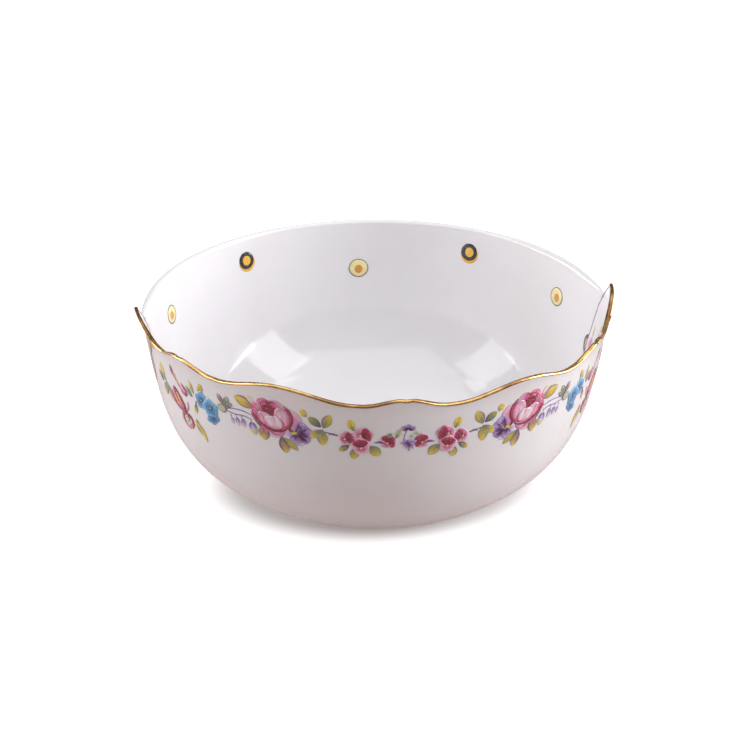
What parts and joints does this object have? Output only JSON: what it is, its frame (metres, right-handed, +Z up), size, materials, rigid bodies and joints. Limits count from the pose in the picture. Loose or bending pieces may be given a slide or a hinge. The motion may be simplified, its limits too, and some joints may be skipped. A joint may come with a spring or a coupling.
{
  "type": "porcelain serving bowl",
  "caption": "Round serving bowl: half with a scalloped gilded lip and rose garland, half plain with ringed dots inside.",
  "frame": {"origin": "bowl axis on the plane the foot ring stands on", "axes": "+Z up, the scalloped half faces -Y, the seam between the two styles runs along X"},
  "size_m": [0.232, 0.2259, 0.1012],
  "materials": {
    "porcelain": "clear gloss glaze on white porcelain",
    "gilding": "burnished gold lustre",
    "seam_enamel": "pale lavender on-glaze enamel",
    "rose_enamel": "pink on-glaze enamel",
    "crimson_enamel": "crimson on-glaze enamel",
    "leaf_enamel": "yellow-green on-glaze enamel",
    "plum_enamel": "purple on-glaze enamel",
    "blue_enamel": "blue on-glaze enamel",
    "straw_enamel": "pale yellow on-glaze enamel with a dark ring",
    "black_enamel": "black on-glaze enamel with gold"
  },
  "bodies": {
    "root": {"porcelain_body": "porcelain", "gilt_rim": "gilding", "seam_line_inside": "seam_enamel", "seam_line_outside": "seam_enamel", "centre_sprig": "plum_enamel", "pale_dot_left": "straw_enamel", "pale_dot_middle": "straw_enamel", "pale_dot_right": "straw_enamel", "dark_dot_left": "black_enamel", "dark_dot_right": "black_enamel", "rose_left": "rose_enamel", "rose_right": "rose_enamel", "rose_leaves_left": "leaf_enamel", "rose_leaves_right": "leaf_enamel", "pansy_left": "plum_enamel", "pansy_right": "plum_enamel", "bells_left": "plum_enamel", "bells_right": "plum_enamel", "blue_flowers_left": "blue_enamel", "blue_flowers_right": "blue_enamel", "ribbon_left": "rose_enamel", "ribbon_right": "rose_enamel", "ribbon_leaves_left": "leaf_enamel", "ribbon_leaves_right": "leaf_enamel", "crimson_trio_left": "crimson_enamel", "crimson_trio_right": "crimson_enamel", "crimson_single_left": "crimson_enamel", "crimson_single_right": "crimson_enamel", "leaf_pair_left": "leaf_enamel", "leaf_pair_right": "leaf_enamel", "garland_stem_left": "plum_enamel", "garland_stem_right": "plum_enamel", "seam_spray_left": "leaf_enamel", "seam_spray_right": "leaf_enamel", "half_dot_left": "black_enamel", "half_dot_right": "black_enamel", "inner_flower_left": "rose_enamel", "inner_flower_right": "rose_enamel"}
  },
  "joints": []
}
